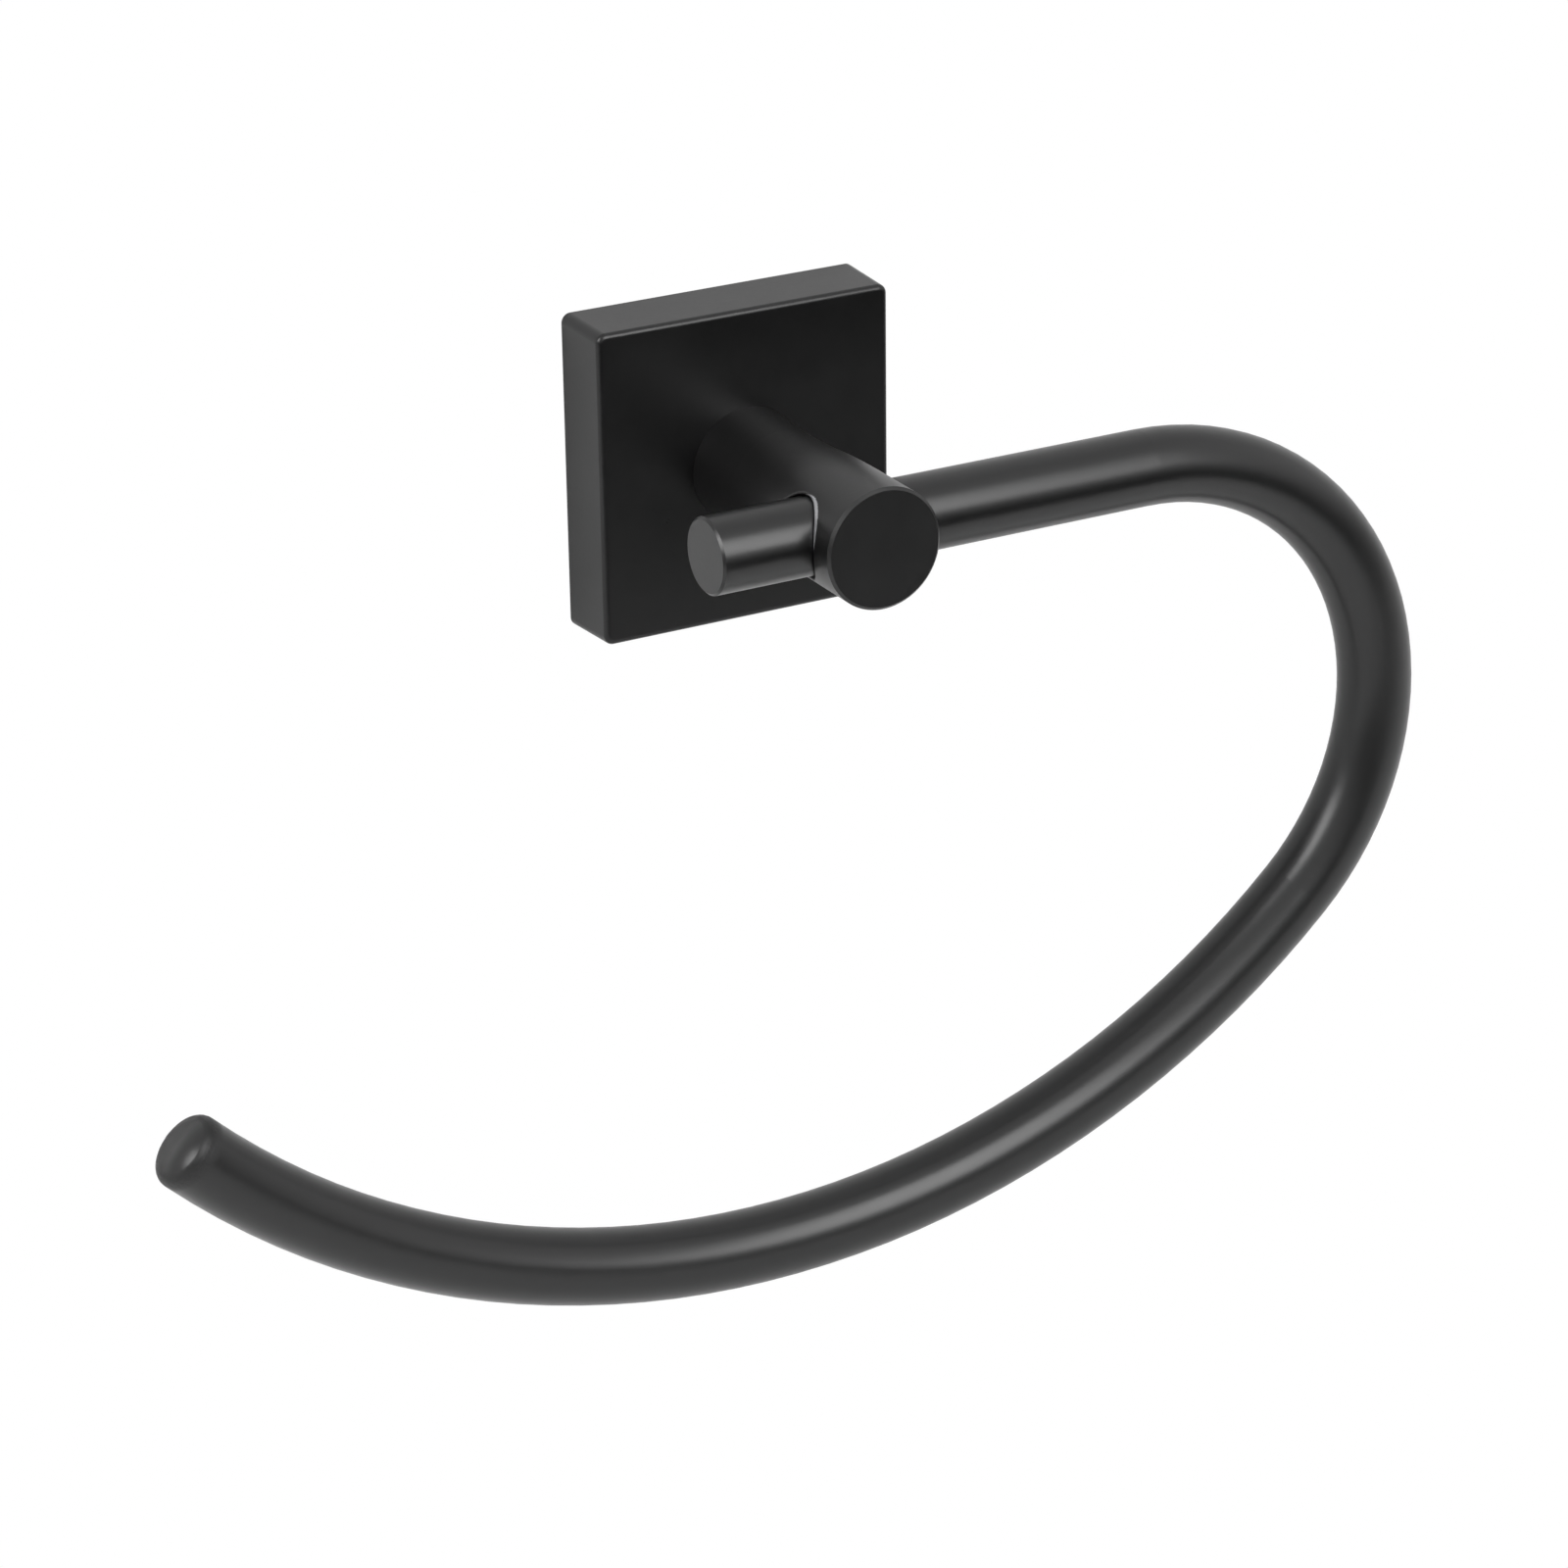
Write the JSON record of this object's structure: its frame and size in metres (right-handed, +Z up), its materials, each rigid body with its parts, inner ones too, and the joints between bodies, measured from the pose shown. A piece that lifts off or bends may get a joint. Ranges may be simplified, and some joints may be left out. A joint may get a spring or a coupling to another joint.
{
  "type": "towel ring",
  "caption": "Wall-mounted open towel ring: square cover, waisted round post, and one bent round bar through it.",
  "frame": {"origin": "middle of the back of the cover and bracket, on the wall", "axes": "+Z up, +Y into the wall, +X to the right as someone facing the wall sees it; the post stands out along -Y"},
  "size_m": [0.2315, 0.0575, 0.157],
  "materials": {
    "black_paint": "satin black paint over cast and turned metal",
    "black_screws": "blackened steel",
    "zinc_plate": "bright zinc plating"
  },
  "bodies": {
    "root": {"cover_plate": "black_paint", "post": "black_paint", "ring_bar": "black_paint", "bar_set_screw": "black_screws", "cover_set_screw": "black_screws", "post_screw": "zinc_plate", "spring_washer": "zinc_plate", "wall_bracket": "zinc_plate"}
  },
  "joints": []
}
